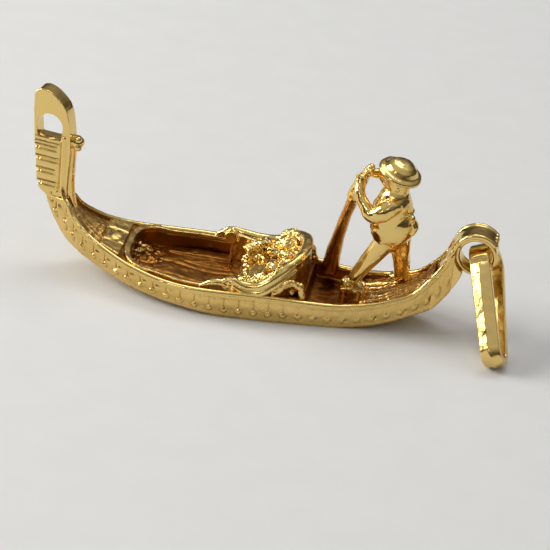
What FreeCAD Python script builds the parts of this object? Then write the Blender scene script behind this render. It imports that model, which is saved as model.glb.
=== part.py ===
import FreeCAD, Part
import math
import os

V = FreeCAD.Vector

# Gold gondola charm, millimetres. Bow towards -X, stern towards +X, +Z up, port side is -Y.
# The origin is under the middle of the bounding box, on the plane of the flat keel.

# Lines plan: station x, centre y, half beam at gunwale, gunwale z, half beam at chine, chine z
STATIONS = (
    (-14.95, 0.28, 0.48, 4.98, 0.40, 4.75),
    (-14.40, 0.19, 0.56, 5.00, 0.44, 3.60),
    (-13.90, 0.10, 0.66, 5.02, 0.50, 2.85),
    (-13.40, 0.02, 0.86, 4.96, 0.64, 2.28),
    (-12.80, 0.00, 1.22, 4.15, 0.95, 1.92),
    (-12.00, 0.00, 1.68, 3.48, 1.38, 1.58),
    (-11.00, 0.00, 2.10, 2.94, 1.78, 1.24),
    (-9.50, 0.00, 2.75, 2.43, 2.42, 0.84),
    (-8.00, 0.00, 3.38, 2.12, 3.05, 0.61),
    (-6.00, 0.00, 4.00, 1.90, 3.70, 0.45),
    (-4.00, 0.00, 4.28, 1.83, 4.00, 0.28),
    (-2.00, 0.00, 4.18, 1.84, 3.90, 0.06),
    (0.00, 0.00, 3.93, 1.86, 3.66, -0.04),
    (2.00, 0.00, 3.62, 1.80, 3.36, -0.06),
    (4.00, 0.00, 3.28, 1.68, 3.02, -0.06),
    (6.00, 0.00, 2.90, 1.66, 2.64, 0.02),
    (8.00, 0.00, 2.50, 1.95, 2.24, 0.30),
    (9.50, 0.00, 2.17, 2.42, 1.92, 0.76),
    (10.80, 0.00, 1.82, 3.02, 1.58, 1.28),
    (11.90, 0.00, 1.36, 4.25, 1.18, 1.72),
)

RAIL_H = 0.14
RAIL_W = 0.26

# Prow iron, drawn in its own plane: u runs aft from the pivot, z up
IRON_PIVOT = V(-13.30, 0, 0)
IRON_TWIST = -10.0
IRON_T = 1.15
IRON_HOLE_R = 0.93
IRON_HOLE_U = -1.68
IRON_HOLE_FLAT = 9.16
IRON_HOLE_ARC = 9.95
IRON_KNOB = V(0.12, 0, 9.15)
IRON_KNOB_R = 0.48
TOOTH_GAPS = (8.42, 7.60, 6.72, 5.82)
TOOTH_GAP_H = 0.22
TOOTH_GAP_U = -0.90

# Stern ring and the scroll that carries it
RING = V(14.45, 0, 6.05)
RING_RI = 1.08
RING_RO = 1.40
RING_T = 1.40
SCROLL_RO = 1.62
SCROLL_END = 42.0
SCROLL_FOOT = 239.0

# Gondolier's boater
HAT_BRIM_R = 1.48
HAT_BRIM_T = 0.32
HAT_CROWN_R = 1.26
HAT_CROWN_SQUASH = 0.74

# Bail: a closed strap, drawn hanging, then turned about itself, leaned to port and swung aft.
# It hangs from the aft lower quarter of the ring, at BAIL_SEAT degrees from straight down.
BAIL_W = 1.37
BAIL_T = 0.38
BAIL_TOP = 0.99
BAIL_HALF = 1.30
BAIL_FOOT = 6.265
BAIL_FOOT_R = 0.55
BAIL_TURN = -7.5
BAIL_LEAN = -47.9
BAIL_SWING = -20.2
BAIL_SEAT = -38.7
BAIL_SEAT_R = 1.23
BAIL_SEAT_Y = 0.42


def lerp(a, b, t):
    return a + (b - a) * t


def station_at(x):
    """Catmull-Rom value of the lines plan at x: centre, half beam, gunwale, chine half, chine z."""
    last = len(STATIONS) - 1
    i = 0
    while i < last - 1 and STATIONS[i + 1][0] <= x:
        i += 1
    p1 = STATIONS[i]
    p2 = STATIONS[i + 1]
    p0 = STATIONS[max(i - 1, 0)]
    p3 = STATIONS[min(i + 2, last)]
    h = p2[0] - p1[0]
    t = min(max((x - p1[0]) / h, 0.0), 1.0)
    out = []
    for k in range(1, 6):
        m1 = (p2[k] - p0[k]) / (p2[0] - p0[0]) * h
        m2 = (p3[k] - p1[k]) / (p3[0] - p1[0]) * h
        t2 = t * t
        t3 = t2 * t
        out.append((2 * t3 - 3 * t2 + 1) * p1[k] + (t3 - 2 * t2 + t) * m1
                   + (3 * t2 - 2 * t3) * p2[k] + (t3 - t2) * m2)
    return out


def wire(points):
    return Part.makePolygon(list(points) + [points[0]])


def loft(sections):
    return Part.makeLoft([wire(s) for s in sections], True, False)


def curve(points):
    c = Part.BSplineCurve()
    c.interpolate(points)
    return c.toShape()


def prism_y(edges_or_points, y0, y1):
    """Solid from a closed XZ outline, between y0 and y1."""
    w = edges_or_points
    if not isinstance(w, Part.Wire):
        w = wire([V(x, 0, z) for x, z in w])
    face = Part.Face(w)
    face.translate(V(0, y0, 0))
    return face.extrude(V(0, y1 - y0, 0))


def prism_z(points_or_wire, z0, z1):
    """Solid from a closed plan outline, between z0 and z1."""
    w = points_or_wire
    if not isinstance(w, Part.Wire):
        w = wire([V(x, y, 0) for x, y in w])
    face = Part.Face(w)
    face.translate(V(0, 0, z0))
    return face.extrude(V(0, 0, z1 - z0))


def ball(centre, r, sx=1.0, sy=1.0, sz=1.0):
    """Ellipsoid of radii r*sx, r*sy, r*sz."""
    s = Part.makeSphere(r)
    if (sx, sy, sz) != (1.0, 1.0, 1.0):
        m = FreeCAD.Matrix()
        m.scale(sx, sy, sz)
        s = s.transformGeometry(m)
    s.translate(centre)
    return s


def taper(a, b, ra, rb):
    """Tapered round bar from a to b."""
    d = b - a
    if abs(ra - rb) < 1e-6:
        return Part.makeCylinder(ra, d.Length, a, d)
    return Part.makeCone(ra, rb, d.Length, a, d)


def limb(points, radii):
    """Bar with round joints through several points."""
    s = ball(points[0], radii[0])
    for i in range(len(points) - 1):
        s = s.fuse(taper(points[i], points[i + 1], radii[i], radii[i + 1]))
        s = s.fuse(ball(points[i + 1], radii[i + 1]))
    return s.removeSplitter()


def clear_of(shape, *others):
    """Shape with the other pieces cut away, so that no two pieces share space."""
    for o in others:
        if shape.BoundBox.intersect(o.BoundBox):
            shape = shape.cut(o)
    return shape


def mirror_y(shape):
    return shape.mirror(V(0, 0, 0), V(0, 1, 0))


PIECES = {}


def keep(name, shape):
    PIECES[name] = shape
    return shape


# ---------------------------------------------------------------- hull
hull_sections = []
for x, yc, w, g, c, k in STATIONS:
    hull_sections.append((V(x, yc - w, g), V(x, yc - c, k), V(x, yc + c, k), V(x, yc + w, g)))
hull = loft(hull_sections)
hull = hull.cut(Part.makeBox(40, 20, 5, V(-20, -10, -5)))

# plan outlines follow the gunwale at an inset
def plan(x0, x1, inset, n=14):
    near = []
    far = []
    for i in range(n + 1):
        x = lerp(x0, x1, i / n)
        yc, w, g, c, k = station_at(x)
        near.append(V(x, yc - (w - inset), 0))
        far.append(V(x, yc + (w - inset), 0))
    far.reverse()
    return Part.Wire([curve(near), Part.makeLine(near[-1], far[0]), curve(far),
                      Part.makeLine(far[-1], near[0])])


SQUARENESS = 0.7


def rounded_plan(x_front, x_full, x1, inset):
    """Cockpit outline: a squarish rounded bow end, then parallel to the gunwale."""
    near = []
    for i in range(7):
        a = math.pi / 2 * i / 6
        x = x_full - (x_full - x_front) * math.cos(a) ** SQUARENESS
        w = station_at(x_full)[1] - inset
        near.append(V(x, -w * math.sin(a) ** SQUARENESS, 0))
    for i in range(1, 9):
        x = lerp(x_full, x1, i / 8)
        near.append(V(x, -(station_at(x)[1] - inset), 0))
    far = [V(p.x, -p.y, 0) for p in near]
    far.reverse()
    return Part.Wire([curve(near), Part.makeLine(near[-1], far[0]), curve(far)])


WELL_FRONT = -8.75
WELL_FULL = -6.6
WELL_BACK = 3.30
# the sole of the well rises towards the bow with the hull's bottom
WELL_SOLE = ((4.00, 0.50), (-3.70, 0.50), (-6.00, 0.70), (-8.00, 0.86), (-9.40, 1.02))
well_outline = rounded_plan(WELL_FRONT, WELL_FULL, WELL_BACK, 0.85)
coaming_outline = rounded_plan(WELL_FRONT - 0.38, WELL_FULL, WELL_BACK, 0.52)
well_profile = [V(x, 0, z) for x, z in WELL_SOLE] + [V(-9.40, 0, 7), V(4.00, 0, 7)]
well = prism_z(well_outline, 0.40, 6.0).common(prism_y(wire(well_profile), -6, 6))
hull = hull.cut(well)

# foredeck recess: everything above the ramp, inside the rail
RAMP = ((-13.32, 5.40), (-13.22, 4.55), (-12.9, 3.85), (-12.3, 3.32), (-11.5, 2.85), (-10.6, 2.42),
        (-9.9, 2.30))
ramp_curve = curve([V(x, 0, z) for x, z in RAMP])
ramp_wire = Part.Wire([ramp_curve, Part.makeLine(V(-9.9, 0, 2.30), V(-9.9, 0, 8)),
                       Part.makeLine(V(-9.9, 0, 8), V(-13.32, 0, 8)),
                       Part.makeLine(V(-13.32, 0, 8), V(-13.32, 0, 5.40))])
fore_space = prism_y(ramp_wire, -5, 5).common(prism_z(plan(-13.32, -9.9, 0.30), 0, 9))
hull = hull.cut(fore_space)

# stern well and sloping deck space
AFT = ((3.60, 0.62), (6.60, 0.62), (7.10, 1.15), (8.60, 1.72), (10.20, 2.45), (11.20, 3.05), (11.90, 4.30))
aft_profile = [V(x, 0, z) for x, z in AFT] + [V(11.95, 0, 8), V(3.60, 0, 8)]
aft_space = prism_y(wire(aft_profile), -5, 5).common(prism_z(plan(3.60, 11.89, 0.30), 0, 9))
hull = hull.cut(aft_space)
keep("hull", hull)

# ---------------------------------------------------------------- gunwale rails
rail_sections = []
for x, yc, w, g, c, k in STATIONS[3:]:
    y0 = yc - w - 0.05
    y1 = y0 + RAIL_W
    low = g - 0.10
    high = g + RAIL_H
    rail_sections.append((V(x, y0, low), V(x, y1, low), V(x, y1, high), V(x, y0, high)))
rail = loft(rail_sections)
rail_far = mirror_y(rail)
keep("gunwale_port", rail.cut(hull))
keep("gunwale_starboard", rail_far.cut(hull))


# ---------------------------------------------------------------- strake marks
def outer_skin(x, t):
    """Point on the port side of the hull, t from 0 at the chine to 1 at the gunwale."""
    yc, w, g, c, k = station_at(x)
    return V(x, yc - lerp(c, w, t), lerp(k, g, t))


BEAD_PITCH = 1.0
BEAD_R = 0.17
beads = []
for i in range(24):
    x = -12.4 + i * BEAD_PITCH
    centre = outer_skin(x, 0.40)
    beads.append(ball(centre, BEAD_R))
    beads.append(ball(V(centre.x, -centre.y, centre.z), BEAD_R))
beads = [max(b.cut(hull).Solids, key=lambda q: q.Volume) for b in beads]
keep("strake_beads", Part.makeCompound(beads))

# ---------------------------------------------------------------- foredeck
deck_sections = []
for x, half, edge, ridge in ((-13.05, 0.60, 4.30, 4.55), (-12.55, 0.98, 3.86, 4.12),
                             (-12.00, 1.32, 3.42, 3.66), (-11.40, 1.58, 3.04, 3.30),
                             (-10.80, 1.80, 2.74, 3.02)):
    low = edge - 0.9
    deck_sections.append((V(x, -half, low), V(x, half, low), V(x, half, edge), V(x, 0, ridge),
                          V(x, -half, edge)))
fore_deck = keep("fore_deck", clear_of(loft(deck_sections), hull, rail, rail_far))

step_profile = ((-10.80, 2.0), (-9.25, 2.0), (-9.25, 2.62), (-10.10, 2.78), (-10.80, 2.92))
step = prism_y(step_profile, -5, 5).common(prism_z(plan(-10.80, -9.25, 0.36), 0, 9))
keep("fore_deck_step", clear_of(step, hull, fore_deck, rail, rail_far))

# ---------------------------------------------------------------- cockpit
SEAT_FRONT = -2.75
sheer = [V(x, 0, station_at(x)[2] + 0.26) for x in (-9.5, -8, -6, -4, SEAT_FRONT)]
sheer_band = Part.Wire([curve(sheer), Part.makeLine(sheer[-1], V(SEAT_FRONT, 0, 1.2)),
                        Part.makeLine(V(SEAT_FRONT, 0, 1.2), V(-9.5, 0, 1.2)),
                        Part.makeLine(V(-9.5, 0, 1.2), sheer[0])])
coaming = prism_z(coaming_outline, 1, 5).cut(prism_z(well_outline, 1, 5)).common(prism_y(sheer_band, -6, 6))
keep("cockpit_coaming", clear_of(coaming, hull, PIECES["fore_deck_step"], rail, rail_far))

FLOOR_Z = 0.50
FLOOR_T = 0.18
GRAIN_Z = 0.90
floor_plan = rounded_plan(WELL_FRONT + 0.05, WELL_FULL, WELL_BACK - 0.05, 0.90)
floor_band = [V(x, 0, z) for x, z in WELL_SOLE] + [V(x, 0, z + FLOOR_T) for x, z in reversed(WELL_SOLE)]
floor = prism_z(floor_plan, 0.40, 3.0).common(prism_y(wire(floor_band), -6, 6))
for y, z in ((-2.75, 0.34), (-1.95, 0.16), (1.95, 0.16), (2.75, 0.34)):
    half = 0.42
    ledge = Part.makeBox(4.4, 2 * half, z, V(-6.6, y - half, FLOOR_Z + FLOOR_T))
    floor = floor.fuse(ledge.common(prism_z(floor_plan, 0, 3)).common(well))
for x, y, r in ((-7.7, -0.6, 0.55), (-7.2, 0.9, 0.48), (-7.9, 0.5, 0.50), (-6.9, -1.5, 0.42)):
    grain = ball(V(x, y, GRAIN_Z), r, 1, 1, 0.8)
    floor = floor.fuse(grain.common(well))
floor = keep("cockpit_floor", floor.removeSplitter())

# ---------------------------------------------------------------- settee
HORSESHOE = ((-3.10, 3.62), (-1.50, 3.64), (0.00, 3.58), (1.50, 3.30), (2.60, 2.55), (3.25, 1.35),
             (3.48, 0.0))


def horseshoe(inset, front):
    """Plan of the settee wall or of the seat it holds, open end at x = front."""
    near = []
    for x, y in HORSESHOE:
        shrink = inset * max(0.0, min(1.0, (x - 1.0) / 2.4))
        near.append(V(max(x - shrink, front), -max(y - inset, 0.0), 0))
    near = [V(front, near[0].y, 0)] + [p for p in near if p.x > front + 0.05]
    far = [V(p.x, -p.y, 0) for p in near[:-1]]
    far.reverse()
    c = curve(near + far)
    return Part.Wire([c, Part.makeLine(far[-1], near[0])])


RIM = ((-3.2, 2.52), (-1.2, 2.50), (0.3, 2.42), (1.5, 3.15), (2.7, 3.92), (3.2, 4.22), (3.7, 4.30))
rim_curve = curve([V(x, 0, z) for x, z in RIM])
rim_face = Part.Wire([rim_curve, Part.makeLine(V(3.7, 0, 4.30), V(3.7, 0, 0.5)),
                      Part.makeLine(V(3.7, 0, 0.5), V(-3.2, 0, 0.5)),
                      Part.makeLine(V(-3.2, 0, 0.5), V(-3.2, 0, 2.52))])
WALL_T = 0.50
shell = prism_z(horseshoe(0.0, -2.95), 0.5, 6).cut(prism_z(horseshoe(WALL_T, -3.4), 0, 7))
shell = shell.common(prism_y(rim_face, -6, 6))
shell = clear_of(shell, hull, rail, rail_far, floor, PIECES["cockpit_coaming"])
ARM_BACK = 0.90
PORT_FRONT = -1.35
STARBOARD_FRONT = -2.45
SCROLL_R = 0.46
back = shell.common(Part.makeBox(4, 12, 8, V(ARM_BACK, -6, 0)))
far_arm = shell.common(Part.makeBox(ARM_BACK - STARBOARD_FRONT, 6, 8, V(STARBOARD_FRONT, 0, 0)))
near_arm = shell.common(Part.makeBox(ARM_BACK - PORT_FRONT, 6, 8, V(PORT_FRONT, -6, 0)))
far_arm = far_arm.fuse(Part.makeCylinder(SCROLL_R, 0.66, V(STARBOARD_FRONT, 3.04, 2.36), V(0, 1, 0)))
near_arm = near_arm.fuse(Part.makeCylinder(SCROLL_R, 0.66, V(PORT_FRONT, -3.70, 2.30), V(0, 1, 0)))
far_arm = keep("settee_arm_starboard", clear_of(far_arm, hull, rail, rail_far, PIECES["cockpit_coaming"]))
near_arm = keep("settee_arm_port", clear_of(near_arm, hull, rail, rail_far, PIECES["cockpit_coaming"]))
top_roll = limb([V(1.70, -2.86, 3.20), V(2.62, -2.02, 3.86), V(3.06, -0.9, 4.18), V(3.10, 0.6, 4.22),
                 V(2.72, 1.85, 3.96), V(1.80, 2.86, 3.34)], [0.26, 0.34, 0.38, 0.38, 0.34, 0.26])
back = keep("settee_back", clear_of(back.fuse(top_roll), hull, rail, rail_far, far_arm, near_arm, floor))

SEAT_TOP = 1.55
seat = prism_z(horseshoe(WALL_T + 0.10, -0.85), FLOOR_Z + FLOOR_T, SEAT_TOP)
seat = seat.fuse(Part.makeCylinder(0.30, 5.0, V(-0.85, -2.5, SEAT_TOP - 0.28), V(0, 1, 0)))
seat = seat.common(prism_z(well_outline, 0, 7))
seat = keep("settee_seat", clear_of(seat, hull, floor, near_arm, far_arm, back))

fringe = []
for i in range(13):
    y = -2.52 + i * 0.42
    fringe.append(Part.makeCylinder(0.21, 0.60, V(-1.08, y, FLOOR_Z + FLOOR_T + 0.04)))
valance = fringe[0]
for f in fringe[1:]:
    valance = valance.fuse(f)
keep("settee_valance", clear_of(valance.removeSplitter(), seat, floor, near_arm, far_arm, hull))

bolster = limb([V(0.55, -2.35, 1.95), V(1.75, -1.75, 2.45), V(2.30, -0.55, 2.85), V(2.30, 0.65, 2.85),
                V(1.75, 1.80, 2.55), V(0.55, 2.35, 2.10)], [0.38, 0.50, 0.55, 0.55, 0.50, 0.38])
bolster = keep("settee_bolster", clear_of(bolster, seat, near_arm, far_arm, back, hull))

rosette = Part.makeTorus(0.30, 0.13, V(1.45, 0.55, 2.72), V(-0.65, 0, 0.76))
rosette = rosette.fuse(Part.makeCylinder(0.10, 1.0, V(1.45, 0.55, 2.72), V(0.65, 0, -0.76)))
stem = Part.makeCylinder(0.30, 1.0, V(1.45, 0.55, 2.72), V(0.65, 0, -0.76))
keep("settee_rosette", clear_of(rosette.fuse(stem).removeSplitter(), bolster, back, seat))

# ---------------------------------------------------------------- scroll brackets behind the arms
def bracket(sign):
    arch = [V(1.75, 3.28, 2.10), V(2.15, 3.22, 2.68), V(2.75, 3.05, 2.98), V(3.25, 2.88, 2.65),
            V(3.45, 2.92, 1.95)]
    pts = [V(p.x, sign * p.y, p.z) for p in arch]
    return clear_of(limb(pts, [0.20, 0.22, 0.24, 0.22, 0.22]), hull, rail, rail_far, back, near_arm, far_arm)


keep("scroll_bracket_port", bracket(-1))
keep("scroll_bracket_starboard", bracket(1))

# ---------------------------------------------------------------- stern deck and foot block
deck_top = [V(x, 0, z + 0.24) for x, z in AFT[2:]]
deck_low = [V(x, 0, z - 0.60) for x, z in AFT[2:]]
stern_deck = prism_y(wire(deck_top + deck_low[::-1]), -5, 5).common(prism_z(plan(6.95, 11.80, 0.40), 0, 9))
stern_deck = clear_of(stern_deck, hull, rail, rail_far)

BLOCK = ((5.70, 0.60), (7.30, 0.60), (7.30, 2.12), (6.60, 2.30), (5.80, 2.12))
block = clear_of(prism_y(BLOCK, -1.05, 0.65), hull)
stern_deck = keep("stern_deck", clear_of(stern_deck, block))
keep("foot_block", block)

# ---------------------------------------------------------------- prow iron
IRON_FRONT = ((-1.50, 4.70), (-1.66, 5.02), (-2.05, 5.28), (-2.31, 5.75), (-2.45, 6.63), (-2.62, 8.09),
              (-2.79, 9.53), (-2.90, 10.98), (-2.93, 12.00))
IRON_CROWN = ((-2.93, 12.00), (-2.86, 12.36), (-2.62, 12.58), (-2.21, 12.66), (-1.84, 12.58),
              (-1.46, 12.38), (-1.08, 12.08), (-0.68, 11.66), (-0.42, 11.03), (-0.24, 10.19),
              (-0.10, 8.74), (-0.10, 7.60), (-0.12, 5.70), (-0.06, 5.00))
front_edge = curve([V(u, 0, z) for u, z in IRON_FRONT])
crown = curve([V(u, 0, z) for u, z in IRON_CROWN])
iron_outline = Part.Wire([front_edge, crown, Part.makeLine(V(-0.06, 0, 5.00), V(-0.06, 0, 4.20)),
                          Part.makeLine(V(-0.06, 0, 4.20), V(-1.50, 0, 4.70))])
iron = prism_y(iron_outline, -IRON_T / 2, IRON_T / 2)
hole_low = IRON_HOLE_FLAT
hole_l = V(IRON_HOLE_U - IRON_HOLE_R, 0, IRON_HOLE_ARC)
hole_r = V(IRON_HOLE_U + IRON_HOLE_R, 0, IRON_HOLE_ARC)
hole_top = V(IRON_HOLE_U - 0.05, 0, IRON_HOLE_ARC + IRON_HOLE_R + 0.10)
hole_wire = Part.Wire([Part.Arc(hole_l, hole_top, hole_r).toShape(),
                       Part.makeLine(hole_r, V(hole_r.x - 0.06, 0, hole_low)),
                       Part.makeLine(V(hole_r.x - 0.06, 0, hole_low), V(hole_l.x + 0.08, 0, hole_low)),
                       Part.makeLine(V(hole_l.x + 0.08, 0, hole_low), hole_l)])
iron = iron.cut(prism_y(hole_wire, -2, 2))
for z in TOOTH_GAPS:
    slot = Part.makeBox(3, 0.20, TOOTH_GAP_H, V(TOOTH_GAP_U - 3, IRON_T / 2 - 0.14, z - TOOTH_GAP_H / 2))
    notch = Part.makeBox(3.0, 2, TOOTH_GAP_H, V(-2.22 - 0.18 * (z - 5.8) - 3.0, -1, z - TOOTH_GAP_H / 2))
    iron = iron.cut(slot).cut(mirror_y(slot)).cut(notch)
iron = iron.fuse(ball(IRON_KNOB, IRON_KNOB_R)).removeSplitter()
iron.rotate(V(0, 0, 0), V(0, 0, 1), IRON_TWIST)
iron.translate(IRON_PIVOT)
keep("prow_iron", clear_of(iron, hull, rail, rail_far, fore_deck))

# ---------------------------------------------------------------- stern ring and tail scroll
ring_body = Part.makeCylinder(RING_RO, RING_T, RING - V(0, RING_T / 2, 0), V(0, 1, 0))
ring_hole = Part.makeCylinder(RING_RI, RING_T, RING - V(0, RING_T / 2, 0), V(0, 1, 0))
ring = ring_body.cut(ring_hole)
ring = keep("stern_ring", ring.makeFillet(0.12, ring.Edges))


def on_ring(r, degrees):
    a = math.radians(degrees)
    return V(RING.x + r * math.cos(a), 0, RING.z + r * math.sin(a))


tail_top = curve([V(11.90, 0, 4.10), V(12.25, 0, 4.72), V(12.58, 0, 5.45), on_ring(SCROLL_RO, 180)])
tail_over = Part.Arc(on_ring(SCROLL_RO, 180), on_ring(SCROLL_RO, 110), on_ring(SCROLL_RO, SCROLL_END))
tail_over = tail_over.toShape()
tail_end = Part.makeLine(on_ring(SCROLL_RO, SCROLL_END), on_ring(RING_RO, SCROLL_END))
tail_in = Part.Arc(on_ring(RING_RO, SCROLL_END), on_ring(RING_RO, 130), on_ring(RING_RO, SCROLL_FOOT))
tail_in = tail_in.toShape()
tail_under = curve([on_ring(RING_RO, SCROLL_FOOT), V(13.30, 0, 3.66), V(12.93, 0, 3.04), V(12.48, 0, 2.36),
                    V(11.90, 0, 1.74)])
tail_butt = Part.makeLine(V(11.90, 0, 1.74), V(11.90, 0, 4.10))
tail = prism_y(Part.Wire([tail_top, tail_over, tail_end, tail_in, tail_under, tail_butt]), -2, 2)
tail_half = ((11.9, 1.36), (12.4, 1.20), (13.0, 1.06), (16.2, 0.98))
tail_plan = [(x, -w) for x, w in tail_half] + [(x, w) for x, w in reversed(tail_half)]
tail = tail.common(prism_z(tail_plan, 0, 9))
tail = clear_of(tail, ring, hull, rail, rail_far, stern_deck)
keep("tail_scroll", max(tail.Solids, key=lambda q: q.Volume))

# ---------------------------------------------------------------- bail
def strap_outline(half, top, foot, foot_r):
    """Closed outline: half an ellipse at the top, straight sides, half a circle at the foot."""
    if half > top:
        ellipse = Part.Ellipse(V(half, 0, 0), V(0, top, 0), V(0, 0, 0))
        arch = Part.ArcOfEllipse(ellipse, 0, math.pi)
    else:
        ellipse = Part.Ellipse(V(0, top, 0), V(-half, 0, 0), V(0, 0, 0))
        arch = Part.ArcOfEllipse(ellipse, -math.pi / 2, math.pi / 2)
    right = Part.makeLine(V(half, 0, 0), V(foot_r, -foot, 0))
    base = Part.Arc(V(foot_r, -foot, 0), V(0, -foot - foot_r, 0), V(-foot_r, -foot, 0)).toShape()
    left = Part.makeLine(V(-foot_r, -foot, 0), V(-half, 0, 0))
    return Part.Wire(Part.__sortEdges__([arch.toShape(), right, base, left]))


outer = Part.Face(strap_outline(BAIL_HALF + BAIL_T, BAIL_TOP + BAIL_T, BAIL_FOOT, BAIL_FOOT_R + BAIL_T))
inner = Part.Face(strap_outline(BAIL_HALF, BAIL_TOP, BAIL_FOOT, BAIL_FOOT_R))
bail = outer.extrude(V(0, 0, BAIL_W)).cut(inner.extrude(V(0, 0, BAIL_W)))
bail.translate(V(0, 0, -BAIL_W / 2))
# local x becomes +Y, local y becomes +Z, the strap's width lies along X
bail.rotate(V(0, 0, 0), V(1, 0, 0), 90)
bail.rotate(V(0, 0, 0), V(0, 0, 1), 90)
bail.rotate(V(0, 0, 0), V(0, 0, 1), BAIL_TURN)
bail.rotate(V(0, 0, 0), V(1, 0, 0), BAIL_LEAN)
bail.rotate(V(0, 0, 0), V(0, 1, 0), BAIL_SWING)
seat_angle = math.radians(BAIL_SEAT)
bail.translate(V(-BAIL_SEAT_R * math.sin(seat_angle), BAIL_SEAT_Y, -BAIL_SEAT_R * math.cos(seat_angle)))
bail.translate(RING)
keep("bail", bail)

# ---------------------------------------------------------------- oar
oar = limb([V(6.60, 0.85, 10.45), V(6.00, 1.30, 9.10), V(5.72, 1.62, 7.90)], [0.26, 0.34, 0.46])
blade = limb([V(5.72, 1.62, 7.90), V(5.30, 2.05, 6.20), V(4.95, 2.45, 4.40), V(4.72, 2.70, 3.00),
              V(4.62, 2.78, 1.62)], [0.40, 0.38, 0.42, 0.52, 0.58])
oar = clear_of(oar.fuse(blade).removeSplitter(), hull, rail_far, back, PIECES["scroll_bracket_starboard"])
oar = keep("oar", max(oar.Solids, key=lambda q: q.Volume))

# ---------------------------------------------------------------- gondolier
def body(sections):
    """Smooth body through level ellipses: centre x, centre y, z, radius in x, radius in y."""
    wires = []
    for x, y, z, rx, ry in sections:
        if rx >= ry:
            e = Part.Ellipse(V(x + rx, y, z), V(x, y + ry, z), V(x, y, z))
        else:
            e = Part.Ellipse(V(x, y + ry, z), V(x - rx, y, z), V(x, y, z))
        wires.append(Part.Wire(e.toShape()))
    return Part.makeLoft(wires, True, False)


front_leg = limb([V(8.35, -0.25, 5.95), V(7.35, -0.22, 4.10), V(6.62, -0.20, 2.75)], [0.78, 0.60, 0.46])
shoe = ball(V(6.35, -0.20, 2.42), 0.5, 1.15, 0.75, 0.62)
front_leg = clear_of(front_leg.fuse(shoe).removeSplitter(), block, hull)
rear_leg = limb([V(9.20, 0.45, 5.95), V(9.50, 0.75, 4.20), V(9.62, 0.90, 3.00)], [0.78, 0.58, 0.54])
rear_shoe = ball(V(9.52, 0.90, 2.72), 0.5, 1.5, 0.9, 0.7)
rear_leg = clear_of(rear_leg.fuse(rear_shoe).removeSplitter(), stern_deck, hull, front_leg)
front_leg = keep("gondolier_front_leg", front_leg)
rear_leg = keep("gondolier_rear_leg", max(rear_leg.Solids, key=lambda q: q.Volume))

tunic = body(((8.55, 0, 5.75, 1.05, 0.95), (8.60, 0, 6.30, 1.40, 1.15), (8.68, 0, 7.10, 1.55, 1.22),
              (8.62, 0, 7.75, 1.38, 1.12), (8.60, 0, 8.02, 1.20, 1.02)))
tunic = keep("gondolier_tunic", clear_of(tunic, front_leg, rear_leg))
sash = keep("gondolier_sash", body(((8.60, 0, 8.02, 1.26, 1.10), (8.62, 0, 8.15, 1.32, 1.15),
                                    (8.66, 0, 8.30, 1.24, 1.10))))
chest = body(((8.66, 0, 8.30, 1.20, 1.06), (8.66, 0, 8.75, 1.06, 1.16), (8.72, 0, 9.12, 0.86, 1.06),
              (8.76, 0, 9.45, 0.66, 0.72)))
head = ball(V(8.62, -0.02, 10.02), 0.80, 0.90, 0.92, 1.12)
neck = taper(V(8.80, 0, 9.00), V(8.72, 0, 9.80), 0.62, 0.66)
chest = keep("gondolier_chest", chest)
head = keep("gondolier_head", clear_of(head.fuse(neck).removeSplitter(), chest))

near_arm_g = limb([V(8.45, -1.12, 8.95), V(7.15, -1.20, 8.25), V(6.10, -0.05, 9.62)], [0.58, 0.50, 0.38])
near_hand = ball(V(5.98, 0.20, 9.78), 0.46)
far_arm_g = limb([V(8.40, 1.10, 9.10), V(7.60, 1.35, 9.85), V(6.72, 0.75, 10.14)], [0.50, 0.40, 0.34])
far_hand = ball(V(6.60, 0.62, 10.22), 0.40)
near_arm_g = near_arm_g.fuse(near_hand).removeSplitter()
far_arm_g = far_arm_g.fuse(far_hand).removeSplitter()
near_arm_g = keep("gondolier_port_arm", clear_of(near_arm_g, chest, sash, tunic, oar, head))
far_arm_g = clear_of(far_arm_g, chest, sash, tunic, oar, head, near_arm_g)
keep("gondolier_starboard_arm", max(far_arm_g.Solids, key=lambda q: q.Volume))

brim = Part.makeCylinder(HAT_BRIM_R, HAT_BRIM_T)
brim = brim.makeFillet(0.13, brim.Edges)
crown_dome = ball(V(0, 0, 0.16), HAT_CROWN_R, 1, 1, HAT_CROWN_SQUASH)
crown_dome = crown_dome.common(Part.makeBox(4, 4, 2, V(-2, -2, 0.1)))
hat = brim.fuse(crown_dome).removeSplitter()
hat.rotate(V(0, 0, 0), V(0, 1, 0), 13)
hat.rotate(V(0, 0, 0), V(1, 0, 0), 10)
hat.translate(V(8.58, -0.02, 10.78))
keep("gondolier_hat", clear_of(hat, head))

os.makedirs("parts", exist_ok=True)
for name, shape in PIECES.items():
    shape.exportStep("parts/" + name + ".step")
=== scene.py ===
import math
import bmesh
import bpy
import numpy as np
from mathutils import Matrix, Vector, noise


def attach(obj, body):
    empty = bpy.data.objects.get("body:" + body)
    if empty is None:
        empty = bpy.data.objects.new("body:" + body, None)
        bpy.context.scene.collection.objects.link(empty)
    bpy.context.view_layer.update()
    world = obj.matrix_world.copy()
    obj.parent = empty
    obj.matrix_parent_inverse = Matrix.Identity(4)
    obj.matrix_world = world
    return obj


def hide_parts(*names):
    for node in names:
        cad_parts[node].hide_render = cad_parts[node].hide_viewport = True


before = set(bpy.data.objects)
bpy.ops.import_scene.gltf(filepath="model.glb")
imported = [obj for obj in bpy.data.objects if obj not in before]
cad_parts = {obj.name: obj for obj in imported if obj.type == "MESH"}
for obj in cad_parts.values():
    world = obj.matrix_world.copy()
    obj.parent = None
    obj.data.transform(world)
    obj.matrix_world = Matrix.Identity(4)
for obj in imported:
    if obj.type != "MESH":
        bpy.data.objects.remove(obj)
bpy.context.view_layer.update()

MM = 0.001
BODY = "charm"
TAU = 2 * math.pi

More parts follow.
